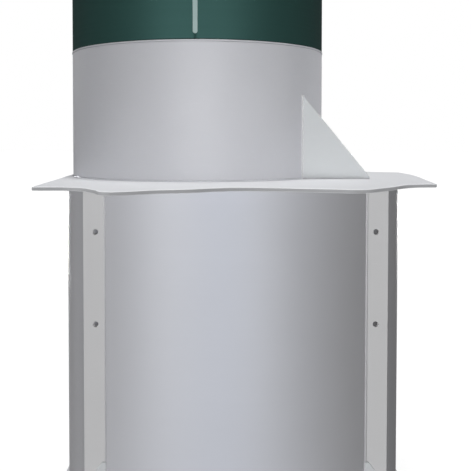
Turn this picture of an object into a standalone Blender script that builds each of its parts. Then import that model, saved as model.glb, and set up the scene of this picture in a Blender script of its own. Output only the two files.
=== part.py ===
"""Septic tank of welded polypropylene sheet, standing upright on its base plate.

A round tank body of four curved sheets stands between a base plate and a shoulder plate, both
with bowed, wavy edges. Four upright ribs cover the joints of the sheets. A narrower round neck
rises from the shoulder, close to the body's left side, and a lid of the neck's diameter
closes it. The front faces -Y, the body's axis is the Z axis and the tank rests on Z = 0.
"""

import math

import bmesh
import bpy

# Driving dimensions, in metres
GAP = 0.0003
BODY_RADIUS = 0.5285
BODY_HEIGHT = 0.962
BODY_WALL = 0.008
PLATE_THICKNESS = 0.010
NECK_RADIUS = 0.400
NECK_INSET = 0.0165
NECK_WALL = 0.008
NECK_HEIGHT = 0.386
MOUTH_RADIUS = 0.380
RIM_RING_HEIGHT = 0.005
RIM_RING_PROUD = 0.0015
LID_SKIRT_HEIGHT = 0.240
LID_WALL = 0.006
CROWN_EDGE_HEIGHT = 0.012
CROWN_ROUNDING = 0.018
CROWN_RISE = 0.030
SPIGOT_WALL = 0.006
SPIGOT_DEPTH = 0.060
SPIGOT_RISE = 0.040
STRIP_WIDTH = 0.014
STRIP_THICKNESS = 0.003
STRIP_FOOT = 0.015
RIB_THICKNESS = 0.010
RIB_FACE_Y = 0.3841
RIB_REACH = 0.4235
RIB_HOLE_RADIUS = 0.008
RIB_HOLE_X = 0.390
RIB_HOLE_DEPTHS = (0.140, 0.398)
GUSSET_TIP = 0.006
NECK_GUSSET_THICKNESS = 0.010
NECK_GUSSET_FACE_Y = 0.2514
NECK_GUSSET_REACH = 0.399
NECK_GUSSET_HEIGHT = 0.242
BASE_GUSSET_THICKNESS = 0.006
BASE_GUSSET_REACH = 0.508
BASE_GUSSET_HEIGHT = 0.186
BASE_GUSSET_TOP = 0.010

# Facets of round pieces
SHEET_STEPS = 24
HALF_TURN_STEPS = 48
FULL_TURN_STEPS = 96
CUTTER_STEPS = 192
HOLE_STEPS = 24
WAVE_STEPS = 5
ROUNDING_STEPS = 4

# Levels and centres that follow from them
NECK_X = NECK_RADIUS - BODY_RADIUS + NECK_INSET
BASE_TOP = PLATE_THICKNESS
SHOULDER_UNDERSIDE = BASE_TOP + BODY_HEIGHT
SHOULDER_TOP = SHOULDER_UNDERSIDE + PLATE_THICKNESS
NECK_TOP = SHOULDER_TOP + NECK_HEIGHT
RIM_RING_TOP = NECK_TOP + RIM_RING_HEIGHT
LID_SKIRT_TOP = RIM_RING_TOP + LID_SKIRT_HEIGHT

# The plates' outline: (x, y, whether the outline has a corner there), clockwise from above. The
# base plate is the left half mirrored, and a little wider
LEFT_HALF_OUTLINE = (
    (0.000, -0.629, False),
    (-0.060, -0.652, False),
    (-0.120, -0.692, False),
    (-0.200, -0.724, False),
    (-0.262, -0.770, False),
    (-0.305, -0.784, False),
    (-0.345, -0.708, False),
    (-0.405, -0.622, False),
    (-0.513, -0.610, True),
    (-0.519, -0.400, False),
    (-0.523, -0.200, False),
    (-0.531, -0.040, False),
    (-0.531, 0.100, False),
    (-0.526, 0.340, False),
    (-0.500, 0.570, True),
    (-0.410, 0.560, False),
    (-0.329, 0.592, False),
    (-0.238, 0.620, False),
    (-0.099, 0.588, False),
    (0.000, 0.575, False),
)
RIGHT_HALF_OUTLINE = (
    (0.110, 0.590, False),
    (0.215, 0.606, False),
    (0.315, 0.565, False),
    (0.402, 0.480, False),
    (0.450, 0.390, False),
    (0.474, 0.300, False),
    (0.520, 0.235, False),
    (0.594, 0.200, True),
    (0.596, 0.060, False),
    (0.583, -0.090, False),
    (0.551, -0.310, False),
    (0.527, -0.487, True),
    (0.480, -0.494, False),
    (0.438, -0.524, False),
    (0.392, -0.592, False),
    (0.350, -0.645, False),
    (0.285, -0.706, False),
    (0.225, -0.690, False),
    (0.150, -0.664, False),
    (0.080, -0.640, False),
)
BASE_SPREAD = 1.022

GREY_POLYPROPYLENE = "#C8CACD"
GREEN_POLYPROPYLENE = "#2F5A4E"
PALE_GREEN_POLYPROPYLENE = "#A3B5AE"


def clear_scene():
    """Removes every object that the scene holds."""
    for old in list(bpy.data.objects):
        bpy.data.objects.remove(old, do_unlink=True)


def new_collection(name):
    """A collection in the scene."""
    collection = bpy.data.collections.new(name)
    bpy.context.scene.collection.children.link(collection)
    return collection


def linear_colour(hex_colour):
    """An sRGB hex colour as linear red, green, blue and alpha."""
    channels = []
    for place in (1, 3, 5):
        value = int(hex_colour[place : place + 2], 16) / 255
        linear = value / 12.92 if value <= 0.04045 else ((value + 0.055) / 1.055) ** 2.4
        channels.append(linear)
    return (*channels, 1.0)


def plastic(name, hex_colour, roughness):
    """A plain sheet plastic."""
    material = bpy.data.materials.new(name)
    material.use_nodes = True
    shader = material.node_tree.nodes["Principled BSDF"]
    shader.inputs["Base Color"].default_value = linear_colour(hex_colour)
    shader.inputs["Roughness"].default_value = roughness
    shader.inputs["Metallic"].default_value = 0.0
    return material


def add_object(name, data, material, collection):
    """An object with its own copy of the material."""
    obj = bpy.data.objects.new(name, data)
    if material:
        own = material.copy()
        own.name = name
        data.materials.append(own)
    collection.objects.link(obj)
    return obj


def circle_points(radius, steps, centre=(0, 0)):
    """Points around a circle."""
    points = []
    for number in range(steps):
        angle = 2 * math.pi * number / steps
        points.append((centre[0] + radius * math.cos(angle), centre[1] + radius * math.sin(angle)))
    return points


def arc_points(centre, radius, start, end, steps):
    """Points along an arc, both ends included."""
    points = []
    for number in range(steps + 1):
        angle = start + (end - start) * number / steps
        points.append((centre[0] + radius * math.cos(angle), centre[1] + radius * math.sin(angle)))
    return points


def flat_curve(name, thickness, material, collection):
    """An empty flat outline that fills to a plate of the given thickness."""
    outline = bpy.data.curves.new(name, "CURVE")
    outline.dimensions = "2D"
    outline.fill_mode = "BOTH"
    outline.extrude = thickness / 2
    outline.resolution_u = WAVE_STEPS
    return add_object(name, outline, material, collection)


def add_straight_outline(curve, points):
    """A closed outline with straight sides."""
    spline = curve.splines.new("POLY")
    spline.points.add(len(points) - 1)
    for place, (x, y) in zip(spline.points, points):
        place.co = (x, y, 0, 1)
    spline.use_cyclic_u = True


def add_wavy_outline(curve, points):
    """A closed outline, smooth at each point but those marked as corners."""
    spline = curve.splines.new("BEZIER")
    spline.bezier_points.add(len(points) - 1)
    for place, (x, y, corner) in zip(spline.bezier_points, points):
        place.co = (x, y, 0)
        place.handle_left_type = "VECTOR" if corner else "AUTO"
        place.handle_right_type = "VECTOR" if corner else "AUTO"
    spline.use_cyclic_u = True


def curved_sheet(name, radius, wall, centre_x, start, sweep, levels, steps, material, collection):
    """An upright curved sheet: its plan is a ring's arc, drawn flat and extruded to its height."""
    bottom, top = levels
    sheet = flat_curve(name, top - bottom, material, collection)
    half_joint = GAP / 2 / (radius - wall)
    first = start + half_joint
    last = start + sweep - half_joint
    plan = arc_points((0, 0), radius, first, last, steps)
    plan += arc_points((0, 0), radius - wall, last, first, steps)
    add_straight_outline(sheet.data, plan)
    sheet.location = (centre_x, 0, (bottom + top) / 2)


def turned_solid(name, profile, closed, centre_x, material, collection):
    """A solid of revolution. A profile that isn't closed starts and ends on the axis."""
    points = [(radius, 0, height) for radius, height in profile]
    edges = [(number, number + 1) for number in range(len(points) - 1)]
    if closed:
        edges.append((len(points) - 1, 0))
    outline = bpy.data.meshes.new(name)
    outline.from_pydata(points, edges, [])
    solid = add_object(name, outline, material, collection)
    solid.location.x = centre_x
    turn = solid.modifiers.new("Turn", "SCREW")
    turn.axis = "Z"
    turn.angle = 2 * math.pi
    turn.steps = FULL_TURN_STEPS
    turn.render_steps = FULL_TURN_STEPS
    turn.use_smooth_shade = True
    turn.use_merge_vertices = True
    turn.merge_threshold = 0.00001
    return solid


def as_mesh(curve_object):
    """Replaces a curve object with the closed mesh that it makes."""
    graph = bpy.context.evaluated_depsgraph_get()
    mesh = bpy.data.meshes.new_from_object(curve_object.evaluated_get(graph))
    welded = bmesh.new()
    welded.from_mesh(mesh)
    bmesh.ops.remove_doubles(welded, verts=welded.verts, dist=0.00001)
    welded.to_mesh(mesh)
    welded.free()
    name = curve_object.name
    collection = curve_object.users_collection[0]
    place = curve_object.matrix_world.copy()
    bpy.data.objects.remove(curve_object, do_unlink=True)
    solid = bpy.data.objects.new(name, mesh)
    solid.matrix_world = place
    collection.objects.link(solid)
    return solid


def wall_cutter(name, radius, centre_x, collection):
    """A tall cylinder that shapes an edge to a round wall, with the gap that touching pieces keep."""
    body = bmesh.new()
    bmesh.ops.create_cone(
        body,
        cap_ends=True,
        segments=CUTTER_STEPS,
        radius1=radius + GAP,
        radius2=radius + GAP,
        depth=4 * SHOULDER_TOP,
    )
    mesh = bpy.data.meshes.new(name)
    body.to_mesh(mesh)
    body.free()
    cutter = add_object(name, mesh, None, collection)
    cutter.location.x = centre_x
    cutter.hide_render = True
    cutter.display_type = "WIRE"
    return cutter


def upright_plate(name, outlines, face_y, side, thickness, material, collection):
    """A plate across the Y axis, its outer face at face_y on the side named."""
    plate = flat_curve(name, thickness, material, collection)
    for points in outlines:
        add_straight_outline(plate.data, points)
    plate.location.y = side * (face_y - thickness / 2)
    plate.rotation_euler.x = math.pi / 2
    return plate


def fit_to_wall(plate, cutter):
    """Cuts the plate's inner side to a round wall."""
    bpy.context.view_layer.update()
    cut = as_mesh(plate).modifiers.new("Fit to wall", "BOOLEAN")
    cut.operation = "DIFFERENCE"
    cut.solver = "EXACT"
    cut.object = cutter


def gusset_outline(root_x, top, reach, bottom, height, hand):
    """A triangle with blunt tips: its upright side at root_x, its foot out to reach."""
    corners = [
        (root_x, bottom),
        (reach, bottom),
        (reach, bottom + GUSSET_TIP),
        (root_x + top, bottom + height),
        (root_x, bottom + height),
    ]
    return [(hand * x, z) for x, z in corners]


def add_plates(material, collection):
    """The base plate, which closes the tank, and the shoulder plate with the neck's mouth."""
    left_half = [(x * BASE_SPREAD, y, corner) for x, y, corner in LEFT_HALF_OUTLINE]
    mirrored = [(-x, y, corner) for x, y, corner in reversed(left_half[1:-1])]
    base = flat_curve("base_plate", PLATE_THICKNESS, material, collection)
    add_wavy_outline(base.data, left_half + mirrored)
    base.location.z = PLATE_THICKNESS / 2

    shoulder = flat_curve("shoulder_plate", PLATE_THICKNESS, material, collection)
    add_wavy_outline(shoulder.data, list(LEFT_HALF_OUTLINE) + list(RIGHT_HALF_OUTLINE))
    add_straight_outline(shoulder.data, circle_points(MOUTH_RADIUS, FULL_TURN_STEPS, (NECK_X, 0)))
    shoulder.location.z = SHOULDER_UNDERSIDE + PLATE_THICKNESS / 2


def add_body(material, collection):
    """Four curved sheets, whose upright joints lie half way between the axes."""
    quarter = math.pi / 2
    levels = (BASE_TOP + GAP, SHOULDER_UNDERSIDE - GAP)
    for number, side in enumerate(("right", "back", "left", "front")):
        start = (number - 0.5) * quarter
        curved_sheet(
            f"{side}_body_sheet", BODY_RADIUS, BODY_WALL, 0, start, quarter, levels, SHEET_STEPS,
            material, collection,
        )


def add_neck(material, collection):
    """Two half-round sheets with their joints at the sides, and the flat ring on their top."""
    levels = (SHOULDER_TOP + GAP, NECK_TOP - GAP)
    for side, start in (("back", 0), ("front", math.pi)):
        curved_sheet(
            f"{side}_neck_sheet", NECK_RADIUS, NECK_WALL, NECK_X, start, math.pi, levels,
            HALF_TURN_STEPS, material, collection,
        )
    outer = NECK_RADIUS + RIM_RING_PROUD
    inner = NECK_RADIUS - NECK_WALL
    ring = (
        (outer, RIM_RING_TOP),
        (outer, NECK_TOP),
        (inner, NECK_TOP),
        (inner, RIM_RING_TOP),
    )
    turned_solid("neck_rim_ring", ring, True, NECK_X, material, collection)


def add_lid(green, pale, collection):
    """Two half-round skirts, a low crown, the strips on the skirts' joints and a locating ring."""
    levels = (RIM_RING_TOP + GAP, LID_SKIRT_TOP - GAP)
    for side, start in (("left", math.pi / 2), ("right", -math.pi / 2)):
        curved_sheet(
            f"{side}_lid_skirt", NECK_RADIUS, LID_WALL, NECK_X, start, math.pi, levels,
            HALF_TURN_STEPS, green, collection,
        )

    edge_top = LID_SKIRT_TOP + CROWN_EDGE_HEIGHT
    slope = math.atan2(CROWN_RISE, NECK_RADIUS)
    rounding_centre = (NECK_RADIUS - CROWN_ROUNDING, edge_top)
    outside = arc_points(rounding_centre, CROWN_ROUNDING, math.pi / 2 - slope, 0, ROUNDING_STEPS)
    inner_rounding = CROWN_ROUNDING - LID_WALL
    inside = arc_points(rounding_centre, inner_rounding, 0, math.pi / 2 - slope, ROUNDING_STEPS)
    apex = outside[0][1] + outside[0][0] * math.tan(slope)
    inner_apex = inside[-1][1] + inside[-1][0] * math.tan(slope)
    profile = [(0, apex), *outside, (NECK_RADIUS, LID_SKIRT_TOP)]
    profile += [(NECK_RADIUS - LID_WALL, LID_SKIRT_TOP), *inside, (0, inner_apex)]
    turned_solid("lid_crown", profile, False, NECK_X, green, collection)

    outer = NECK_RADIUS - NECK_WALL - GAP
    inner = outer - SPIGOT_WALL
    spigot = (
        (outer, RIM_RING_TOP + SPIGOT_RISE),
        (outer, RIM_RING_TOP - SPIGOT_DEPTH),
        (inner, RIM_RING_TOP - SPIGOT_DEPTH),
        (inner, RIM_RING_TOP + SPIGOT_RISE),
    )
    turned_solid("lid_locating_ring", spigot, True, NECK_X, green, collection)

    half = STRIP_WIDTH / 2
    foot = RIM_RING_TOP + STRIP_FOOT + half
    outline = arc_points((0, foot), half, math.pi, 2 * math.pi, 2 * ROUNDING_STEPS)
    outline += [(half, LID_SKIRT_TOP), (-half, LID_SKIRT_TOP)]
    strip_y = NECK_RADIUS + GAP + STRIP_THICKNESS / 2
    for end, side in (("front", -1), ("back", 1)):
        strip = flat_curve(f"{end}_lid_strip", STRIP_THICKNESS, pale, collection)
        add_straight_outline(strip.data, outline)
        strip.location.x = NECK_X
        strip.location.y = side * strip_y
        strip.rotation_euler.x = math.pi / 2


def add_ribs(cutter, material, collection):
    """An upright flat rib over each joint of the body's sheets, with its two fixing holes."""
    root = RIB_FACE_Y * 0.8
    bottom = BASE_TOP + GAP
    top = SHOULDER_UNDERSIDE - GAP
    for end, side in (("front", -1), ("back", 1)):
        for flank, hand in (("left", -1), ("right", 1)):
            edges = [(root, bottom), (RIB_REACH, bottom), (RIB_REACH, top), (root, top)]
            outlines = [[(hand * x, z) for x, z in edges]]
            for depth in RIB_HOLE_DEPTHS:
                centre = (hand * RIB_HOLE_X, SHOULDER_TOP - depth)
                outlines.append(circle_points(RIB_HOLE_RADIUS, HOLE_STEPS, centre))
            rib = upright_plate(
                f"{end}_{flank}_rib", outlines, RIB_FACE_Y, side, RIB_THICKNESS, material, collection
            )
            fit_to_wall(rib, cutter)


def add_base_gussets(material, collection):
    """A triangular gusset against the foot of each rib, as far in as the rib's face goes."""
    face_y = RIB_FACE_Y + GAP + BASE_GUSSET_THICKNESS
    root = math.sqrt(BODY_RADIUS**2 - RIB_FACE_Y**2) + GAP
    bottom = BASE_TOP + GAP
    for end, side in (("front", -1), ("back", 1)):
        for flank, hand in (("left", -1), ("right", 1)):
            outline = gusset_outline(
                root, BASE_GUSSET_TOP, BASE_GUSSET_REACH, bottom, BASE_GUSSET_HEIGHT, hand
            )
            upright_plate(
                f"{end}_{flank}_base_gusset", [outline], face_y, side, BASE_GUSSET_THICKNESS,
                material, collection,
            )


def add_neck_gussets(cutter, material, collection):
    """The two triangular gussets that brace the neck's right side on the shoulder."""
    wall_x = NECK_X + math.sqrt(NECK_RADIUS**2 - NECK_GUSSET_FACE_Y**2)
    root = wall_x - 2 * NECK_GUSSET_THICKNESS
    bottom = SHOULDER_TOP + GAP
    slope = NECK_GUSSET_HEIGHT / (NECK_GUSSET_REACH - wall_x)
    height = NECK_GUSSET_HEIGHT + slope * (wall_x - root)
    for end, side in (("front", -1), ("back", 1)):
        outline = gusset_outline(root, GUSSET_TIP, NECK_GUSSET_REACH, bottom, height, 1)
        gusset = upright_plate(
            f"{end}_neck_gusset", [outline], NECK_GUSSET_FACE_Y, side, NECK_GUSSET_THICKNESS,
            material, collection,
        )
        fit_to_wall(gusset, cutter)


def main():
    clear_scene()
    tank = new_collection("septic_tank")
    cutters = new_collection("cutters")
    grey = plastic("grey_polypropylene", GREY_POLYPROPYLENE, 0.45)
    green = plastic("green_polypropylene", GREEN_POLYPROPYLENE, 0.4)
    pale = plastic("pale_green_polypropylene", PALE_GREEN_POLYPROPYLENE, 0.4)
    body_cutter = wall_cutter("body_cutter", BODY_RADIUS, 0, cutters)
    neck_cutter = wall_cutter("neck_cutter", NECK_RADIUS, NECK_X, cutters)
    add_plates(grey, tank)
    add_body(grey, tank)
    add_ribs(body_cutter, grey, tank)
    add_base_gussets(grey, tank)
    add_neck(grey, tank)
    add_neck_gussets(neck_cutter, grey, tank)
    add_lid(green, pale, tank)


main()
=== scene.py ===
"""Looks of the septic tank: satin polypropylene sheet, weld beads, a green lid and a pale studio.

The file is laid out as a Blender add-on and run as a script. Every curved sheet is spun again with
fine facets, every flat sheet is a bevelled copy of its solid, and Geometry Nodes lay the weld beads
along the joints. Lengths are in metres, the front faces -Y and the tank stands on Z = 0.
"""

import math

import bmesh
import bpy
from bpy.props import FloatProperty, FloatVectorProperty, IntProperty, PointerProperty
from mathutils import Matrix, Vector


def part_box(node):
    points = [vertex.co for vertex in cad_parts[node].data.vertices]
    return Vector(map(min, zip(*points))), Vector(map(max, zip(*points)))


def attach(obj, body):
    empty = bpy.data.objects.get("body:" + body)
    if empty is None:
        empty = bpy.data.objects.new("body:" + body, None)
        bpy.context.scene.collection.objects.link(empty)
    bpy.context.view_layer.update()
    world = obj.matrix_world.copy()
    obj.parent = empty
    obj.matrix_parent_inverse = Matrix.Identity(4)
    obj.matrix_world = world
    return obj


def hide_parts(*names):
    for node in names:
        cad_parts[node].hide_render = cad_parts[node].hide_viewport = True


bl_info = {
    "name": "Septic Tank",
    "version": (1, 0, 0),
    "blender": (4, 5, 0),
    "location": "3D View > Sidebar > Septic Tank",
    "description": "Dresses the packed septic tank in welded polypropylene sheet",
    "category": "Object",
}

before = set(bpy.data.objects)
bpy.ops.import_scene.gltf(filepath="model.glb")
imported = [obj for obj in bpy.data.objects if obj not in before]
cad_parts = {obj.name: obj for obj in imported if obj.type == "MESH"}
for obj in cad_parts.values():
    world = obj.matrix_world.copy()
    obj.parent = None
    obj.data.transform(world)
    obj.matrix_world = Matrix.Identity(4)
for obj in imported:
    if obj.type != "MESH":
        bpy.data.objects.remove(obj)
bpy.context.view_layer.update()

BODY = "root"
JOINT_GAP = 0.0003
MERGE_DISTANCE = 0.00001
SHARP_ANGLE = math.radians(30)
FLAT_ANGLE = math.radians(0.3)
CUT_EDGE = "cut_edge"

# Sockets of the Mix node when it mixes colours
MIX_FACTOR = 0
MIX_FIRST_COLOUR = 6
MIX_SECOND_COLOUR = 7
MIX_COLOUR_RESULT = 2

# Radii, levels and centres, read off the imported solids
body_low, body_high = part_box("front_body_sheet")
neck_low, neck_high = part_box("front_neck_sheet")
lid_low, lid_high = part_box("left_lid_skirt")
spigot_low, spigot_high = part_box("lid_locating_ring")
rim_low, rim_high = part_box("neck_rim_ring")
crown_low, crown_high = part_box("lid_crown")
BODY_RADIUS = -body_low.y
BODY_INNER_RADIUS = -body_high.y / math.cos(math.pi / 4)
NECK_X = (neck_low.x + neck_high.x) / 2
NECK_RADIUS = -neck_low.y
NECK_INNER_RADIUS = (spigot_high.x - spigot_low.x) / 2 + JOINT_GAP
RIM_RADIUS = (rim_high.x - rim_low.x) / 2
BASE_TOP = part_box("base_plate")[1].z
SHOULDER_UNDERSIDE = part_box("shoulder_plate")[0].z
SHOULDER_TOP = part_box("shoulder_plate")[1].z

ENDS = (("front", -1), ("back", 1))
FLANKS = (("left", -1), ("right", 1))

# The dressed pieces under their slots, so that each row of lamps finds the ones it lights
dressed = {}

# Rows of distant lamps round the tank: slots lit, slots that cast shadows, elevation, then each
# lamp's bearing and strength. The ribs stay pale beside the body, so it casts no shadow on them
ALL_SHEETS = ("plate_sheet", "body_sheet", "rib_sheet", "neck_sheet", "lid_green")
LAMP_ROWS = {
    "body": (
        ("body_sheet",), ALL_SHEETS, -4,
        ((-45, 1.27), (-30, 0.64), (15, 1.34), (125, 0.06), (160, 1.7), (-160, 1.7)),
    ),
    "rib": (
        ("rib_sheet", "gusset_sheet"), ("plate_sheet", "rib_sheet"), 0.5,
        ((-45, 1.27), (-30, 0.64), (15, 1.34), (90, 1.1), (160, 1.5), (-160, 1.5), (-90, 1.1)),
    ),
    "neck": (
        ("neck_sheet",), ALL_SHEETS, 10,
        ((-75, 0.56), (-45, 0.80), (15, 0.50), (75, 1.38), (140, 0.22), (180, 1.6), (-140, 0.22)),
    ),
    "lid": (
        ("lid_green", "lid_strip"), ALL_SHEETS, 4.5,
        ((-30, 0.66), (-15, 1.25), (15, 0.96), (30, 0.7), (180, 1.4)),
    ),
    "plate": (
        ("plate_sheet",), ALL_SHEETS, -3,
        ((-30, 0.95), (-5, 1.9), (90, 1.2), (180, 1.8), (-90, 1.2)),
    ),
}
# Tall strip lights with a grid, in front of a row's sheets: place in X, height of the lower end,
# power, spread and colour. The neck's hangs high, because the plate brightens the neck's foot
STRIP_LIGHTS = {"body": (-0.09, -1.2, 1.75, 14, "#CFE0FF"), "neck": (-0.10, 0.96, 1.75, 9.5, "#FFFFFF")}


def linear_colour(hex_colour):
    """An sRGB hex colour as linear red, green, blue and alpha."""
    channels = []
    for place in (1, 3, 5):
        value = int(hex_colour[place : place + 2], 16) / 255
        linear = value / 12.92 if value <= 0.04045 else ((value + 0.055) / 1.055) ** 2.4
        channels.append(linear)
    return (*channels, 1.0)


def length(name, description, default):
    """A property that holds a length in metres."""
    return FloatProperty(
        name=name, description=description, default=default, min=0.0, subtype="DISTANCE", unit="LENGTH",
        precision=4,
    )


def angle(name, description, degrees):
    """A property that holds an angle."""
    return FloatProperty(
        name=name, description=description, default=math.radians(degrees), subtype="ANGLE", unit="ROTATION"
    )


def colour(name, description, hex_colour):
    """A property that holds a colour."""
    return FloatVectorProperty(
        name=name, description=description, default=linear_colour(hex_colour), size=4, min=0.0, max=1.0,
        subtype="COLOR",
    )


def strength(name, description, default):
    """A property that holds a plain factor or a light's power."""
    return FloatProperty(name=name, description=description, default=default, min=0.0)


class SepticTankSizes(bpy.types.PropertyGroup):
    """Sizes of the details that the plain solids leave out."""

    facet_angle: angle("Facet angle", "Turn of one facet of a round sheet", 1.5)
    sheet_rounding: length("Sheet rounding", "Rounding of a curved sheet's rims", 0.0012)
    plate_rounding: length("Plate rounding", "Rounding of a plate's scraped edges", 0.0026)
    rib_rounding: length("Rib rounding", "Rounding of a rib's edges and its holes' rims", 0.0018)
    strip_rounding: length("Strip rounding", "Rounding that crowns a lid strip", 0.0026)
    drip_rounding: length("Drip rounding", "Rounding under the lid's lower rim", 0.0035)
    lid_wall: length("Lid wall", "Thickness of the lid's sheet", 0.006)
    crown_rounding: length("Crown rounding", "Rounding between the lid's side and its top", 0.018)
    crown_rise: length("Crown rise", "Rise of the lid's top towards its middle", 0.030)
    bead_radius: length("Bead radius", "Half the width of a fillet weld", 0.0032)
    seam_radius: length("Seam radius", "Half the width of a flush weld on a butt joint", 0.0040)
    ripple_pitch: length("Ripple pitch", "Distance between a weld's ripples", 0.0065)
    ripple_depth: strength("Ripple depth", "Share of the bead's radius that a ripple takes", 0.10)
    wander: strength("Wander", "Share of the bead's radius that the hand's unsteadiness takes", 0.16)
    seed: IntProperty(name="Seed", description="Seed of the welds' unevenness", default=7)


class SepticTankColours(bpy.types.PropertyGroup):
    """Colours of the sheets, before light falls on them. The greys are one plastic in lighter and darker
    copies, as painted light and shade: the plates' grey is lightest and the body's darkest.
    """

    # One grey plastic in lighter and darker copies: the plates' light grey is painted light, the body's dark
    # grey painted shade
    plate: colour("Plate", "Base and shoulder plate", "#CDCED1")
    body: colour("Body", "Curved sheets of the tank body", "#A0A0A3")
    rib: colour("Rib", "Upright ribs", "#AFAFB0")
    gusset: colour("Gusset", "Triangular gussets", "#ADB0B2")
    neck: colour("Neck", "Curved sheets of the neck", "#B5B6BB")
    lid: colour("Lid", "Green sheet of the lid", "#1D3330")
    strip: colour("Strip", "Pale strips on the lid's joints", "#748A88")


class SepticTankStudio(bpy.types.PropertyGroup):
    """Camera, floor and lights."""

    lens: FloatProperty(
        name="Lens", description="Focal length in millimetres", default=58.47, subtype="DISTANCE_CAMERA"
    )
    distance: length("Distance", "From the body's axis to the camera", 2.5)
    offset: length("Offset", "How far to the left of the body's axis the camera stands", 0.07)
    eye_height: length("Eye height", "Height of the camera over the shoulder plate", 0.119)
    tilt: angle("Tilt", "Tilt of the camera down from the horizon", 1.96)
    shift: FloatVectorProperty(
        name="Shift", description="Shift of the frame, in frame widths", default=(0.0531, -0.150), size=2
    )
    surroundings: colour("Surroundings", "White floor and background", "#FFFFFF")
    lamps: strength("Lamps", "Factor on the strengths of the lamps round the tank", 1.0)
    lamp_width: angle("Lamp width", "How wide each of the lamps round the tank looks", 8)
    top: strength("Top light", "Strength of the light from above", 3.2)
    top_width: angle("Top width", "How wide the light from above looks", 14)
    fill: strength("Fill", "Strength of the even light from all round", 0.11)


def sizes():
    """The sizes that are set in the scene."""
    return bpy.context.scene.septic_tank_sizes


def colours():
    """The colours that are set in the scene."""
    return bpy.context.scene.septic_tank_colours


def studio():
    """The studio's settings in the scene."""
    return bpy.context.scene.septic_tank_studio


# Meshes


def new_piece(name, mesh):
    """An object at the origin that holds the mesh."""
    piece = bpy.data.objects.new(name, mesh)
    bpy.context.scene.collection.objects.link(piece)
    return piece


def rounded_outline(corners, roundings, steps=3):
    """A closed outline of (radius, height) points whose corners are eased by the roundings given."""
    outline = []
    for number, corner in enumerate(corners):
        before = corners[number - 1]
        after = corners[(number + 1) % len(corners)]
        rounding = roundings[number]
        start = corner + (before - corner).normalized() * rounding
        end = corner + (after - corner).normalized() * rounding
        for step in range(steps + 1):
            share = step / steps
            outline.append(start.lerp(corner, share).lerp(corner.lerp(end, share), share))
    return outline


def turned_mesh(name, outline, centre_x, start, sweep, closed=True):
    """Spins an outline of (radius, height) points around the upright axis at centre_x."""
    steps = max(1, round(abs(sweep) / sizes().facet_angle))
    full_turn = abs(sweep) > 2 * math.pi - MERGE_DISTANCE
    piece = bmesh.new()
    rim = [
        piece.verts.new((radius * math.cos(start), radius * math.sin(start), height))
        for radius, height in outline
    ]
    pairs = list(zip(rim, rim[1:]))
    if closed:
        pairs.append((rim[-1], rim[0]))
    edges = [piece.edges.new(pair) for pair in pairs]
    last = bmesh.ops.spin(
        piece, geom=rim + edges, axis=(0, 0, 1), angle=sweep, steps=steps, use_merge=full_turn
    )["geom_last"]
    if full_turn:
        bmesh.ops.remove_doubles(piece, verts=piece.verts, dist=MERGE_DISTANCE)
    else:
        piece.faces.new(rim)
        piece.faces.new([part for part in last if isinstance(part, bmesh.types.BMVert)])
    bmesh.ops.recalc_face_normals(piece, faces=piece.faces)
    bmesh.ops.translate(piece, verts=piece.verts, vec=(centre_x, 0, 0))
    mesh = bpy.data.meshes.new(name)
    piece.to_mesh(mesh)
    piece.free()
    return mesh


def curved_sheet(name, centre_x, radii, levels, start, sweep, roundings):
    """A sheet bent round an upright axis, its rims rounded. Joints keep the gap of the solids."""
    inner, outer = radii
    bottom, top = levels
    corners = [Vector((inner, bottom)), Vector((outer, bottom)), Vector((outer, top)), Vector((inner, top))]
    outline = rounded_outline(corners, roundings)
    half_joint = JOINT_GAP / 2 / inner if sweep < 2 * math.pi else 0.0
    return turned_mesh(name, outline, centre_x, start + half_joint, sweep - 2 * half_joint)


def joined_solid(node):
    """A closed mesh of the node's shape: its loose triangles merged and its flat faces made whole."""
    piece = bmesh.new()
    piece.from_mesh(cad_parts[node].data)
    bmesh.ops.remove_doubles(piece, verts=piece.verts, dist=MERGE_DISTANCE)
    bmesh.ops.dissolve_limit(piece, angle_limit=FLAT_ANGLE, verts=piece.verts, edges=piece.edges)
    mesh = bpy.data.meshes.new(f"dressed_{node}")
    piece.to_mesh(mesh)
    piece.free()
    return mesh


def mark_cut_edges(mesh, normal, value_on_edge):
    """Marks the faces where the sheet was sawn: those that don't lie along its surface.

    The normal is the flat sheet's own, or the Z axis for a curved sheet, whose rims face along it.
    """
    marks = mesh.attributes.new(CUT_EDGE, "FLOAT", "FACE")
    for face in mesh.polygons:
        along = abs(face.normal.dot(normal)) > 0.5
        marks.data[face.index].value = 1.0 if along == value_on_edge else 0.0


def apply_modifiers(piece):
    """Replaces the piece's mesh with the one that its modifiers make, and removes them."""
    graph = bpy.context.evaluated_depsgraph_get()
    finished = bpy.data.meshes.new_from_object(
        piece.evaluated_get(graph), preserve_all_data_layers=True, depsgraph=graph
    )
    piece.modifiers.clear()
    unfinished = piece.data
    piece.data = finished
    finished.name = piece.name
    bpy.data.meshes.remove(unfinished)


def finish_piece(piece, material, slot, replaced):
    """Gives the piece its material and hands it to the frame in place of the solids named."""
    piece.data.materials.clear()
    piece.data.materials.append(material)
    dressed.setdefault(slot, []).append(piece)
    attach(piece, BODY)
    if replaced:
        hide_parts(*replaced)


def dress_flat_sheet(node, rounding, normal, material, slot):
    """A bevelled copy of a flat sheet, with its sawn edges marked."""
    piece = new_piece(f"dressed_{node}", joined_solid(node))
    piece.data.shade_smooth()
    bevel = piece.modifiers.new("Scraped edges", "BEVEL")
    bevel.width = rounding
    bevel.segments = 3
    bevel.limit_method = "ANGLE"
    bevel.angle_limit = SHARP_ANGLE
    piece.modifiers.new("Even shading", "WEIGHTED_NORMAL").keep_sharp = True
    apply_modifiers(piece)
    mark_cut_edges(piece.data, normal, False)
    finish_piece(piece, material, slot, [node])
    return piece


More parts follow.
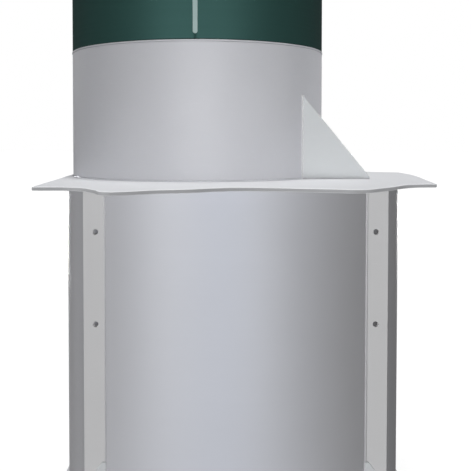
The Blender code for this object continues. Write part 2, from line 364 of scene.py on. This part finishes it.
def dress_curved_sheet(node, mesh, material, slot):
    """A finely faceted curved sheet in the place of its solid."""
    piece = new_piece(f"dressed_{node}", mesh)
    piece.data.shade_smooth()
    piece.modifiers.new("Even shading", "WEIGHTED_NORMAL").keep_sharp = True
    apply_modifiers(piece)
    mark_cut_edges(piece.data, Vector((0, 0, 1)), True)
    finish_piece(piece, material, slot, [node])
    return piece


# Materials


def add_node(tree, kind, settings=None, links=None):
    """Adds a node, sets its properties and inputs, and links its inputs to other nodes' outputs."""
    node = tree.nodes.new(kind)
    for name, value in (settings or {}).items():
        if isinstance(name, str) and hasattr(node, name):
            setattr(node, name, value)
        else:
            node.inputs[name].default_value = value
    for name, output in (links or {}).items():
        tree.links.new(output, node.inputs[name])
    return node


def tinted(base, factor):
    """The colour made lighter or darker by a factor."""
    return (*(min(1.0, channel * factor) for channel in base[:3]), 1.0)


def polypropylene_sheet(name, base, roughness, gloss=0.5, gloss_tint=(1, 1, 1, 1), sawn_edge_and_shade_tone=0.9):
    """Extruded polypropylene sheet: a waxy, satin skin with an even colour.

    The eye sees a soft sheen, faint die lines along the sheet, fine orange peel, a few rubbed
    places and, where the sheet was sawn and scraped, a darker and duller edge. A low edge tone darkens
    the edge further, as painted shade.
    """
    material = bpy.data.materials.new(name)
    material.use_nodes = True
    tree = material.node_tree
    shader = tree.nodes["Principled BSDF"]
    shader.inputs["IOR"].default_value = 1.49
    shader.inputs["Specular IOR Level"].default_value = gloss
    shader.inputs["Specular Tint"].default_value = gloss_tint
    place = add_node(tree, "ShaderNodeTexCoord").outputs["Object"]

    # The melt is never quite even: clouds about 120 mm wide
    clouds = add_node(tree, "ShaderNodeTexNoise", {"Scale": 1 / 0.120, "Detail": 3.0}, {"Vector": place})
    # Die lines run along the sheet, which is laid round the tank. Real ones are 0.5 mm wide and are
    # drawn 5 mm wide, so that they show
    along_sheet = add_node(tree, "ShaderNodeMapping", {"Scale": (1.2, 1.2, 1 / 0.005)}, {"Vector": place})
    die_lines = add_node(
        tree, "ShaderNodeTexNoise", {"Scale": 1.0, "Detail": 2.0}, {"Vector": along_sheet.outputs["Vector"]}
    )
    # Rubbed places about 40 mm long and 6 mm wide, from handling and strapping
    along_rub = add_node(
        tree, "ShaderNodeMapping", {"Rotation": (0.5, 0.3, 0.9), "Scale": (1 / 0.040, 1 / 0.006, 1 / 0.006)},
        {"Vector": place},
    )
    rubs = add_node(
        tree, "ShaderNodeTexNoise", {"Scale": 1.0, "Detail": 2.0}, {"Vector": along_rub.outputs["Vector"]}
    )
    rubbed = add_node(
        tree, "ShaderNodeMapRange", {"From Min": 0.66, "From Max": 0.78}, {"Value": rubs.outputs["Fac"]}
    )
    # Orange peel is 1 mm wide and is drawn 3 mm wide, so that it shows
    peel = add_node(tree, "ShaderNodeTexNoise", {"Scale": 1 / 0.003, "Detail": 2.0}, {"Vector": place})
    # Saw marks stand across the cut edge, 2 mm apart
    along_cut = add_node(tree, "ShaderNodeMapping", {"Scale": (1 / 0.004, 1 / 0.004, 8.0)}, {"Vector": place})
    saw_marks = add_node(
        tree, "ShaderNodeTexNoise", {"Scale": 1.0, "Detail": 1.0}, {"Vector": along_cut.outputs["Vector"]}
    )
    cut = add_node(tree, "ShaderNodeAttribute", {"attribute_name": CUT_EDGE}).outputs["Fac"]

    cloudy = add_node(
        tree, "ShaderNodeMix",
        {"data_type": "RGBA", MIX_FIRST_COLOUR: tinted(base, 0.975), MIX_SECOND_COLOUR: tinted(base, 1.025)},
        {MIX_FACTOR: clouds.outputs["Fac"]},
    )
    rubbed_share = add_node(
        tree, "ShaderNodeMath", {"operation": "MULTIPLY", 1: 0.35}, {0: rubbed.outputs["Result"]}
    )
    handled = add_node(
        tree, "ShaderNodeMix", {"data_type": "RGBA", MIX_SECOND_COLOUR: tinted(base, 1.12)},
        {MIX_FACTOR: rubbed_share.outputs["Value"], MIX_FIRST_COLOUR: cloudy.outputs[MIX_COLOUR_RESULT]},
    )
    # The sawn edge's colour is a little darker for the sawn face itself. A low tone, as on the plates, is
    # painted shade on the edge band
    finished = add_node(
        tree, "ShaderNodeMix", {"data_type": "RGBA", MIX_SECOND_COLOUR: tinted(base, sawn_edge_and_shade_tone)},
        {MIX_FACTOR: cut, MIX_FIRST_COLOUR: handled.outputs[MIX_COLOUR_RESULT]},
    )
    tree.links.new(finished.outputs[MIX_COLOUR_RESULT], shader.inputs["Base Color"])

    uneven = add_node(
        tree, "ShaderNodeMapRange",
        {"From Min": 0.3, "From Max": 0.7, "To Min": roughness - 0.02, "To Max": roughness + 0.02},
        {"Value": die_lines.outputs["Fac"]},
    )
    duller = add_node(
        tree, "ShaderNodeMath", {"operation": "MULTIPLY_ADD", 1: 0.18}, {0: cut, 2: uneven.outputs["Result"]}
    )
    dull_rubs = add_node(
        tree, "ShaderNodeMath", {"operation": "MULTIPLY_ADD", 1: 0.10},
        {0: rubbed.outputs["Result"], 2: duller.outputs["Value"]},
    )
    tree.links.new(dull_rubs.outputs["Value"], shader.inputs["Roughness"])

    relief = add_node(
        tree, "ShaderNodeMix", {"data_type": "FLOAT"},
        {"Factor": cut, "A": peel.outputs["Fac"], "B": saw_marks.outputs["Fac"]},
    )
    bump = add_node(
        tree, "ShaderNodeBump", {"Strength": 0.25, "Distance": 0.0004}, {"Height": relief.outputs["Result"]}
    )
    tree.links.new(bump.outputs["Normal"], shader.inputs["Normal"])
    return material


def polypropylene_weld(name, base):
    """Extruded weld bead: the sheet's own plastic, molten once more, so it is smoother and glossier."""
    material = bpy.data.materials.new(name)
    material.use_nodes = True
    tree = material.node_tree
    shader = tree.nodes["Principled BSDF"]
    shader.inputs["IOR"].default_value = 1.49
    place = add_node(tree, "ShaderNodeTexCoord").outputs["Object"]
    # The bead's tone changes every 30 mm or so, with the welder's pace
    pace = add_node(tree, "ShaderNodeTexNoise", {"Scale": 1 / 0.030, "Detail": 2.0}, {"Vector": place})
    tone = add_node(
        tree, "ShaderNodeMix",
        {"data_type": "RGBA", MIX_FIRST_COLOUR: tinted(base, 0.96), MIX_SECOND_COLOUR: tinted(base, 1.05)},
        {MIX_FACTOR: pace.outputs["Fac"]},
    )
    gloss = add_node(
        tree, "ShaderNodeMapRange", {"From Min": 0.3, "From Max": 0.7, "To Min": 0.30, "To Max": 0.42},
        {"Value": pace.outputs["Fac"]},
    )
    tree.links.new(tone.outputs[MIX_COLOUR_RESULT], shader.inputs["Base Color"])
    tree.links.new(gloss.outputs["Result"], shader.inputs["Roughness"])
    return material


def painted_floor(name, base):
    """Pale studio floor. It looks nearly as white as the surroundings and shows only faint shadows."""
    material = bpy.data.materials.new(name)
    material.use_nodes = True
    tree = material.node_tree
    tree.nodes.clear()
    place = add_node(tree, "ShaderNodeTexCoord").outputs["Object"]
    grain = add_node(tree, "ShaderNodeTexNoise", {"Scale": 2.0, "Detail": 3.0}, {"Vector": place})
    tone = add_node(
        tree, "ShaderNodeMix",
        {"data_type": "RGBA", MIX_FIRST_COLOUR: tinted(base, 0.10), MIX_SECOND_COLOUR: tinted(base, 0.11)},
        {MIX_FACTOR: grain.outputs["Fac"]},
    )
    matt = add_node(tree, "ShaderNodeBsdfDiffuse", None, {"Color": tone.outputs[MIX_COLOUR_RESULT]})
    glow = add_node(tree, "ShaderNodeEmission", {"Color": base, "Strength": 0.93})
    shaded = add_node(
        tree, "ShaderNodeAddShader", None, {0: matt.outputs["BSDF"], 1: glow.outputs["Emission"]}
    )
    seen = add_node(tree, "ShaderNodeLightPath").outputs["Is Camera Ray"]
    mixed = add_node(
        tree, "ShaderNodeMixShader", None, {0: seen, 1: matt.outputs["BSDF"], 2: shaded.outputs["Shader"]}
    )
    add_node(tree, "ShaderNodeOutputMaterial", None, {"Surface": mixed.outputs["Shader"]})
    return material


# Welds


def line_path(start, end):
    """A straight weld, as its points and whether it closes on itself."""
    return [Vector(start), Vector(end)], False


def ring_path(centre_x, radius, height):
    """A weld all the way round an upright cylinder."""
    steps = round(2 * math.pi / sizes().facet_angle)
    points = []
    for step in range(steps):
        turn = 2 * math.pi * step / steps
        points.append(Vector((centre_x + radius * math.cos(turn), radius * math.sin(turn), height)))
    return points, True


def path_mesh(name, paths):
    """A mesh of edges along the welds."""
    mesh = bpy.data.meshes.new(name)
    points = []
    edges = []
    for path, closed in paths:
        first = len(points)
        points += path
        edges += [(first + number, first + number + 1) for number in range(len(path) - 1)]
        if closed:
            edges.append((len(points) - 1, first))
    mesh.from_pydata(points, edges, [])
    return mesh


def weld_tree():
    """Geometry Nodes that turn edges into rippled weld beads."""
    tree = bpy.data.node_groups.new("Weld bead", "GeometryNodeTree")
    face = tree.interface
    face.new_socket("Joints", in_out="INPUT", socket_type="NodeSocketGeometry")
    face.new_socket("Bead Radius", in_out="INPUT", socket_type="NodeSocketFloat")
    face.new_socket("Ripple Pitch", in_out="INPUT", socket_type="NodeSocketFloat")
    face.new_socket("Ripple Depth", in_out="INPUT", socket_type="NodeSocketFloat")
    face.new_socket("Wander", in_out="INPUT", socket_type="NodeSocketFloat")
    face.new_socket("Seed", in_out="INPUT", socket_type="NodeSocketInt")
    face.new_socket("Material", in_out="INPUT", socket_type="NodeSocketMaterial")
    face.new_socket("Beads", in_out="OUTPUT", socket_type="NodeSocketGeometry")
    given = tree.nodes.new("NodeGroupInput").outputs

    # Three points a ripple are enough at the bead's size
    spacing = add_node(tree, "ShaderNodeMath", {"operation": "DIVIDE", 1: 3.0}, {0: given["Ripple Pitch"]})
    joints = add_node(tree, "GeometryNodeMeshToCurve", None, {"Mesh": given["Joints"]})
    path = add_node(
        tree, "GeometryNodeResampleCurve", {"mode": "LENGTH"},
        {"Curve": joints.outputs["Curve"], "Length": spacing.outputs["Value"]},
    )
    run = add_node(tree, "GeometryNodeSplineParameter").outputs["Length"]
    turns = add_node(tree, "ShaderNodeMath", {"operation": "DIVIDE"}, {0: run, 1: given["Ripple Pitch"]})
    phase = add_node(tree, "ShaderNodeMath", {"operation": "MULTIPLY", 1: 2 * math.pi}, {0: turns.outputs[0]})
    wave = add_node(tree, "ShaderNodeMath", {"operation": "SINE"}, {0: phase.outputs[0]})
    ripple = add_node(
        tree, "ShaderNodeMath", {"operation": "MULTIPLY_ADD", 2: 1.0},
        {0: wave.outputs[0], 1: given["Ripple Depth"]},
    )
    place = add_node(tree, "GeometryNodeInputPosition").outputs["Position"]
    # The hand's unsteadiness swells the bead every 25 mm or so
    sway = add_node(
        tree, "ShaderNodeTexNoise", {"noise_dimensions": "4D", "Scale": 1 / 0.025, "Detail": 1.0},
        {"Vector": place, "W": given["Seed"]},
    )
    centred = add_node(tree, "ShaderNodeMath", {"operation": "SUBTRACT", 1: 0.5}, {0: sway.outputs["Fac"]})
    size = add_node(
        tree, "ShaderNodeMath", {"operation": "MULTIPLY_ADD"},
        {0: centred.outputs[0], 1: given["Wander"], 2: ripple.outputs[0]},
    )
    round_bead = add_node(
        tree, "GeometryNodeCurvePrimitiveCircle", {"Resolution": 8}, {"Radius": given["Bead Radius"]}
    )
    bead = add_node(
        tree, "GeometryNodeCurveToMesh", {"Fill Caps": True},
        {
            "Curve": path.outputs["Curve"],
            "Profile Curve": round_bead.outputs["Curve"],
            "Scale": size.outputs[0],
        },
    )
    smooth = add_node(tree, "GeometryNodeSetShadeSmooth", None, {"Geometry": bead.outputs["Mesh"]})
    real = add_node(tree, "GeometryNodeRealizeInstances", None, {"Geometry": smooth.outputs["Geometry"]})
    plastic = add_node(
        tree, "GeometryNodeSetMaterial", None,
        {"Geometry": real.outputs["Geometry"], "Material": given["Material"]},
    )
    add_node(tree, "NodeGroupOutput", None, {"Beads": plastic.outputs["Geometry"]})
    return tree


def lay_welds(name, tree, paths, radius, material, slot):
    """One piece with all the beads along the paths."""
    piece = new_piece(name, path_mesh(name, paths))
    values = {
        "Bead Radius": radius,
        "Ripple Pitch": sizes().ripple_pitch,
        "Ripple Depth": sizes().ripple_depth,
        "Wander": sizes().wander,
        "Seed": sizes().seed,
        "Material": material,
    }
    welder = piece.modifiers.new("Weld bead", "NODES")
    welder.node_group = tree
    for socket in tree.interface.items_tree:
        if socket.in_out == "INPUT" and socket.name in values:
            welder[socket.identifier] = values[socket.name]
    apply_modifiers(piece)
    if len(piece.data.polygons) == 0:
        raise RuntimeError(f"{name} has no beads")
    turn_outwards(piece.data)
    finish_piece(piece, material, slot, [])
    return piece


def turn_outwards(mesh):
    """Makes the faces of a closed mesh point outwards."""
    piece = bmesh.new()
    piece.from_mesh(mesh)
    bmesh.ops.recalc_face_normals(piece, faces=piece.faces)
    piece.to_mesh(mesh)
    piece.free()


def wall_x(radius, y):
    """How far from the axis an upright cylinder's wall is in X, at a distance of y in Y."""
    return math.sqrt(radius**2 - y**2)


def rib_paths():
    """Welds along both faces of every rib: up the wall and along both plates."""
    paths = []
    lift = sizes().bead_radius / 3
    for end, side in ENDS:
        for flank, hand in FLANKS:
            low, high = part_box(f"{end}_{flank}_rib")
            reach = max(abs(low.x), abs(high.x))
            outer_y = max(abs(low.y), abs(high.y))
            inner_y = min(abs(low.y), abs(high.y))
            for y, outward in ((outer_y, 1), (inner_y, -1)):
                x = wall_x(BODY_RADIUS, y)
                face_y = side * (y + outward * lift)
                wall = (hand * (x + lift), face_y)
                tip = (hand * (reach - lift), face_y)
                paths.append(line_path((*wall, low.z), (*wall, high.z)))
                paths.append(line_path((*wall, low.z + lift), (*tip, low.z + lift)))
                paths.append(line_path((*wall, high.z - lift), (*tip, high.z - lift)))
    return paths


def neck_gusset_paths():
    """Welds along both faces of the neck's gussets: up the round wall and along the plate."""
    paths = []
    lift = sizes().bead_radius / 3
    for end, side in ENDS:
        low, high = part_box(f"{end}_neck_gusset")
        for y, outward in ((max(abs(low.y), abs(high.y)), 1), (min(abs(low.y), abs(high.y)), -1)):
            face_y = side * (y + outward * lift)
            wall = (NECK_X + wall_x(NECK_RADIUS, y) + lift, face_y)
            tip = (high.x - lift, face_y)
            paths.append(line_path((*wall, low.z), (*wall, high.z - 2 * lift)))
            paths.append(line_path((*wall, low.z + lift), (*tip, low.z + lift)))
    return paths


def base_gusset_paths():
    """Welds of the base gussets: up the body along their inner side, and along the plate."""
    paths = []
    lift = sizes().bead_radius / 3
    for end, side in ENDS:
        for flank, hand in FLANKS:
            low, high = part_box(f"{end}_{flank}_base_gusset")
            root = min(abs(low.x), abs(high.x)) - lift
            reach = max(abs(low.x), abs(high.x)) - lift
            wall_y = wall_x(BODY_RADIUS, root) + lift
            face_y = max(abs(low.y), abs(high.y)) + lift
            paths.append(
                line_path((hand * root, side * wall_y, low.z), (hand * root, side * wall_y, high.z - lift))
            )
            paths.append(
                line_path(
                    (hand * root, side * face_y, low.z + lift), (hand * reach, side * face_y, low.z + lift)
                )
            )
    return paths


# Operators


class SEPTICTANK_OT_plates(bpy.types.Operator):
    """Dresses the base plate and the shoulder plate"""

    bl_idname = "septic_tank.plates"
    bl_label = "Plates"

    def execute(self, context):
        # The plates' edges get half the plate's tone: painted shade on the edge band beneath the lit top
        material = polypropylene_sheet(
            "grey_polypropylene_plate", colours().plate, 0.6, gloss=0.3, sawn_edge_and_shade_tone=0.5
        )
        for node in ("base_plate", "shoulder_plate"):
            dress_flat_sheet(node, sizes().plate_rounding, Vector((0, 0, 1)), material, "plate_sheet")
        return {"FINISHED"}


class SEPTICTANK_OT_body_sheets(bpy.types.Operator):
    """Spins the four curved sheets of the body"""

    bl_idname = "septic_tank.body_sheets"
    bl_label = "Body sheets"

    def execute(self, context):
        # The body's darker copy of the grey plastic is painted shade
        material = polypropylene_sheet("grey_polypropylene_body_sheet", colours().body, 0.55, gloss=1.0)
        quarter = math.pi / 2
        rounding = sizes().sheet_rounding
        for number, side in enumerate(("right", "back", "left", "front")):
            mesh = curved_sheet(
                side, 0.0, (BODY_INNER_RADIUS, BODY_RADIUS), (body_low.z, body_high.z),
                (number - 0.5) * quarter, quarter, [rounding] * 4,
            )
            dress_curved_sheet(f"{side}_body_sheet", mesh, material, "body_sheet")
        return {"FINISHED"}


class SEPTICTANK_OT_ribs(bpy.types.Operator):
    """Dresses the four upright ribs and the rims of their holes"""

    bl_idname = "septic_tank.ribs"
    bl_label = "Ribs"

    def execute(self, context):
        material = polypropylene_sheet("grey_polypropylene_rib", colours().rib, 0.55)
        for end, _side in ENDS:
            for flank, _hand in FLANKS:
                dress_flat_sheet(
                    f"{end}_{flank}_rib", sizes().rib_rounding, Vector((0, 1, 0)), material, "rib_sheet"
                )
        return {"FINISHED"}


class SEPTICTANK_OT_gussets(bpy.types.Operator):
    """Dresses the gussets at the neck and at the ribs' feet"""

    bl_idname = "septic_tank.gussets"
    bl_label = "Gussets"

    def execute(self, context):
        material = polypropylene_sheet("grey_polypropylene_gusset", colours().gusset, 0.55)
        nodes = [f"{end}_neck_gusset" for end, _side in ENDS]
        nodes += [f"{end}_{flank}_base_gusset" for end, _side in ENDS for flank, _hand in FLANKS]
        for node in nodes:
            dress_flat_sheet(node, sizes().rib_rounding, Vector((0, 1, 0)), material, "gusset_sheet")
        return {"FINISHED"}


class SEPTICTANK_OT_neck(bpy.types.Operator):
    """Spins the two half-round sheets of the neck and the flat ring on them"""

    bl_idname = "septic_tank.neck"
    bl_label = "Neck"

    def execute(self, context):
        material = polypropylene_sheet("grey_polypropylene_neck_sheet", colours().neck, 0.62)
        rounding = sizes().sheet_rounding
        radii = (NECK_INNER_RADIUS, NECK_RADIUS)
        for side, start in (("back", 0.0), ("front", math.pi)):
            mesh = curved_sheet(
                side, NECK_X, radii, (neck_low.z, neck_high.z), start, math.pi, [rounding] * 4
            )
            dress_curved_sheet(f"{side}_neck_sheet", mesh, material, "neck_sheet")
        mesh = curved_sheet(
            "rim", NECK_X, (NECK_INNER_RADIUS, RIM_RADIUS), (rim_low.z, rim_high.z), 0.0, 2 * math.pi,
            [rounding] * 4,
        )
        dress_curved_sheet("neck_rim_ring", mesh, material, "neck_sheet")
        return {"FINISHED"}


class SEPTICTANK_OT_lid(bpy.types.Operator):
    """Spins the lid's skirts and its crown, and colours the ring inside it"""

    bl_idname = "septic_tank.lid"
    bl_label = "Lid"

    def execute(self, context):
        material = polypropylene_sheet(
            "green_polypropylene_sheet", colours().lid, 0.55, gloss=0.4, gloss_tint=(0.45, 1.0, 0.94, 1)
        )
        wall = sizes().lid_wall
        rounding = sizes().sheet_rounding
        roundings = [rounding, sizes().drip_rounding, rounding, rounding]
        for side, start in (("left", math.pi / 2), ("right", -math.pi / 2)):
            mesh = curved_sheet(
                side, NECK_X, (NECK_RADIUS - wall, NECK_RADIUS), (lid_low.z, lid_high.z), start,
                math.pi, roundings,
            )
            dress_curved_sheet(f"{side}_lid_skirt", mesh, material, "lid_green")
        dress_curved_sheet("lid_crown", self.crown_mesh(), material, "lid_green")
        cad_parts["lid_locating_ring"].data.materials.clear()
        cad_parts["lid_locating_ring"].data.materials.append(material)
        return {"FINISHED"}

    def crown_mesh(self):
        """A low cone of sheet with a rounded edge, from the outside's middle to the inside's."""
        wall = sizes().lid_wall
        rounding = sizes().crown_rounding
        slope = math.atan2(sizes().crown_rise, NECK_RADIUS)
        steps = 8
        outside_top = crown_high.z - (NECK_RADIUS - rounding) * math.tan(slope)
        centre_z = outside_top - rounding * math.cos(slope)
        centre = Vector((NECK_RADIUS - rounding, centre_z))
        outside = []
        inside = []
        for step in range(steps + 1):
            turn = (math.pi / 2 - slope) * (1 - step / steps)
            direction = Vector((math.cos(turn), math.sin(turn)))
            outside.append(centre + direction * rounding)
            inside.append(centre + direction * (rounding - wall))
        inside_apex = inside[0].y + inside[0].x * math.tan(slope)
        outline = [Vector((0.0, crown_high.z)), *outside, Vector((NECK_RADIUS, crown_low.z))]
        outline += [Vector((NECK_RADIUS - wall, crown_low.z)), *reversed(inside), Vector((0.0, inside_apex))]
        return turned_mesh("crown", outline, NECK_X, 0.0, 2 * math.pi, closed=False)


class SEPTICTANK_OT_lid_strips(bpy.types.Operator):
    """Dresses the pale crowned strips on the lid's joints"""

    bl_idname = "septic_tank.lid_strips"
    bl_label = "Lid strips"

    def execute(self, context):
        material = polypropylene_sheet("pale_green_polypropylene_strip", colours().strip, 0.36)
        for end, _side in ENDS:
            dress_flat_sheet(
                f"{end}_lid_strip", sizes().strip_rounding, Vector((0, 1, 0)), material, "lid_strip"
            )
        return {"FINISHED"}


class SEPTICTANK_OT_welds(bpy.types.Operator):
    """Lays weld beads along the joints with Geometry Nodes"""

    bl_idname = "septic_tank.welds"
    bl_label = "Weld beads"

    def execute(self, context):
        tree = weld_tree()
        bead = sizes().bead_radius
        seam = sizes().seam_radius
        lift = bead / 3
        sunk = seam * 0.7
        grey = polypropylene_weld("grey_polypropylene_weld", colours().neck)
        body_grey = polypropylene_weld("grey_polypropylene_body_weld", colours().body)
        green = polypropylene_weld("green_polypropylene_weld", colours().lid)

        body_rings = [
            ring_path(0.0, BODY_RADIUS + lift, BASE_TOP + lift),
            ring_path(0.0, BODY_RADIUS + lift, SHOULDER_UNDERSIDE - lift),
        ]
        lay_welds("body_welds", tree, body_rings, bead, body_grey, "body_sheet")
        lay_welds("rib_welds", tree, rib_paths(), bead * 0.8, body_grey, "rib_sheet")
        lay_welds(
            "base_gusset_welds", tree, base_gusset_paths(), bead * 0.8, body_grey, "gusset_sheet"
        )
        lay_welds(
            "neck_foot_weld", tree, [ring_path(NECK_X, NECK_RADIUS + lift, SHOULDER_TOP + lift)], bead,
            grey, "neck_sheet",
        )
        lay_welds(
            "neck_gusset_welds", tree, neck_gusset_paths(), bead * 0.8, body_grey, "gusset_sheet"
        )
        seams = []
        for _flank, hand in FLANKS:
            x = NECK_X + hand * (NECK_RADIUS - sunk)
            seams.append(line_path((x, 0, neck_low.z + seam), (x, 0, neck_high.z - seam)))
        lay_welds("neck_side_seams", tree, seams, seam, grey, "neck_sheet")
        lid_seam = [ring_path(NECK_X, NECK_RADIUS - seam * 0.85, lid_high.z)]
        lay_welds("lid_seam", tree, lid_seam, seam, green, "lid_green")
        return {"FINISHED"}


class SEPTICTANK_OT_stage(bpy.types.Operator):
    """Adds the camera, the pale floor, the surroundings and the soft lights"""

    bl_idname = "septic_tank.stage"
    bl_label = "Stage"

    def execute(self, context):
        self.add_camera()
        self.add_floor()
        self.set_world()
        self.add_lights()
        view = context.scene.view_settings
        view.view_transform = "Standard"
        view.look = "None"
        view.exposure = 0.0
        view.gamma = 1.0
        return {"FINISHED"}

    def add_camera(self):
        """The camera stands level with the shoulder plate and sees the tank's upper part."""
        camera = bpy.data.cameras.new("camera")
        camera.sensor_width = 36.0
        camera.lens = studio().lens
        camera.shift_x, camera.shift_y = studio().shift
        camera.clip_end = 200.0
        holder = new_piece("camera", camera)
        holder.location = (-studio().offset, -studio().distance, SHOULDER_TOP + studio().eye_height)
        holder.rotation_euler.x = math.pi / 2 - studio().tilt
        bpy.context.scene.camera = holder

    def add_floor(self):
        """A wide disc, a hair below the base plate."""
        disc = bmesh.new()
        bmesh.ops.create_circle(disc, cap_ends=True, segments=96, radius=60.0)
        bmesh.ops.translate(disc, verts=disc.verts, vec=(0, 0, -JOINT_GAP))
        mesh = bpy.data.meshes.new("floor")
        disc.to_mesh(mesh)
        disc.free()
        floor = new_piece("floor", mesh)
        floor.data.materials.append(painted_floor("painted_floor", studio().surroundings))

    def set_world(self):
        """White to the camera, and dim and even to the tank."""
        world = bpy.data.worlds.new("studio")
        world.use_nodes = True
        tree = world.node_tree
        tree.nodes.clear()
        pale = studio().surroundings
        white = add_node(tree, "ShaderNodeBackground", {"Color": pale, "Strength": 1.0})
        dim = add_node(tree, "ShaderNodeBackground", {"Color": pale, "Strength": studio().fill})
        seen = add_node(tree, "ShaderNodeLightPath").outputs["Is Camera Ray"]
        mixed = add_node(
            tree, "ShaderNodeMixShader", None,
            {0: seen, 1: dim.outputs["Background"], 2: white.outputs["Background"]},
        )
        add_node(tree, "ShaderNodeOutputWorld", None, {"Surface": mixed.outputs["Shader"]})
        bpy.context.scene.world = world

    def add_lights(self):
        """A light overhead, and a row of lamps round the tank for each group of sheets."""
        self.add_sun("top_light", 0, 90, studio().top, studio().top_width)
        for row, (lit_slots, blocking_slots, elevation, lamps) in LAMP_ROWS.items():
            lit = self.collected(f"{row}_lit", lit_slots)
            blockers = self.collected(f"{row}_blockers", blocking_slots)
            for number, (bearing, power) in enumerate(lamps):
                lamp = self.add_sun(
                    f"{row}_lamp_{number}", bearing, elevation, power * studio().lamps, studio().lamp_width
                )
                self.aim_at(lamp, lit, blockers)
            if row in STRIP_LIGHTS:
                self.aim_at(self.add_strip(f"{row}_strip", *STRIP_LIGHTS[row]), lit, blockers)

    def aim_at(self, light, lit, blockers):
        """Lets the light fall on one collection only, with shadows from the other."""
        light.light_linking.receiver_collection = lit
        light.light_linking.blocker_collection = blockers

    def add_strip(self, name, place_x, lower_end, power, spread, hex_colour):
        """A tall strip light behind the camera, whose grid keeps its beam narrow."""
        light = bpy.data.lights.new(name, "AREA")
        light.color = linear_colour(hex_colour)[:3]
        light.shape = "RECTANGLE"
        light.size = 0.1
        light.size_y = 4.0
        light.spread = math.radians(spread)
        light.energy = power
        holder = new_piece(name, light)
        holder.location = (place_x, -4.0, lower_end + light.size_y / 2)
        holder.rotation_euler.x = math.pi / 2
        holder.visible_camera = False
        return holder

    def collected(self, name, slots):
        """A collection of the dressed pieces of the slots named."""
        collection = bpy.data.collections.new(name)
        for slot in slots:
            for piece in dressed[slot]:
                collection.objects.link(piece)
        return collection

    def add_sun(self, name, bearing, elevation, power, width):
        """A distant light. A bearing of 0 is in front of the tank, and it grows towards the right."""
        light = bpy.data.lights.new(name, "SUN")
        light.energy = power
        light.angle = width
        holder = new_piece(name, light)
        turn = math.radians(bearing)
        rise = math.radians(elevation)
        towards = Vector(
            (math.sin(turn) * math.cos(rise), -math.cos(turn) * math.cos(rise), math.sin(rise))
        )
        holder.rotation_euler = towards.to_track_quat("Z", "Y").to_euler()
        return holder


STEPS = (
    SEPTICTANK_OT_plates,
    SEPTICTANK_OT_body_sheets,
    SEPTICTANK_OT_ribs,
    SEPTICTANK_OT_gussets,
    SEPTICTANK_OT_neck,
    SEPTICTANK_OT_lid,
    SEPTICTANK_OT_lid_strips,
    SEPTICTANK_OT_welds,
    SEPTICTANK_OT_stage,
)


class SEPTICTANK_PT_panel(bpy.types.Panel):
    """Lists the steps and the settings"""

    bl_idname = "SEPTICTANK_PT_panel"
    bl_label = "Septic Tank"
    bl_space_type = "VIEW_3D"
    bl_region_type = "UI"
    bl_category = "Septic Tank"

    def draw(self, context):
        scene = context.scene
        for step in STEPS:
            self.layout.operator(step.bl_idname)
        for group in (scene.septic_tank_sizes, scene.septic_tank_colours, scene.septic_tank_studio):
            box = self.layout.box()
            for name in group.__annotations__:
                box.prop(group, name)


GROUPS = (SepticTankSizes, SepticTankColours, SepticTankStudio)


def register():
    """Registers the settings, the operators and the panel."""
    for group in (*GROUPS, *STEPS, SEPTICTANK_PT_panel):
        bpy.utils.register_class(group)
    bpy.types.Scene.septic_tank_sizes = PointerProperty(type=SepticTankSizes)
    bpy.types.Scene.septic_tank_colours = PointerProperty(type=SepticTankColours)
    bpy.types.Scene.septic_tank_studio = PointerProperty(type=SepticTankStudio)


def unregister():
    """Removes them again."""
    del bpy.types.Scene.septic_tank_studio
    del bpy.types.Scene.septic_tank_colours
    del bpy.types.Scene.septic_tank_sizes
    for group in reversed((*GROUPS, *STEPS, SEPTICTANK_PT_panel)):
        bpy.utils.unregister_class(group)


def main():
    register()
    bpy.ops.septic_tank.plates()
    bpy.ops.septic_tank.body_sheets()
    bpy.ops.septic_tank.ribs()
    bpy.ops.septic_tank.gussets()
    bpy.ops.septic_tank.neck()
    bpy.ops.septic_tank.lid()
    bpy.ops.septic_tank.lid_strips()
    bpy.ops.septic_tank.welds()
    bpy.ops.septic_tank.stage()


if __name__ == "__main__":
    main()
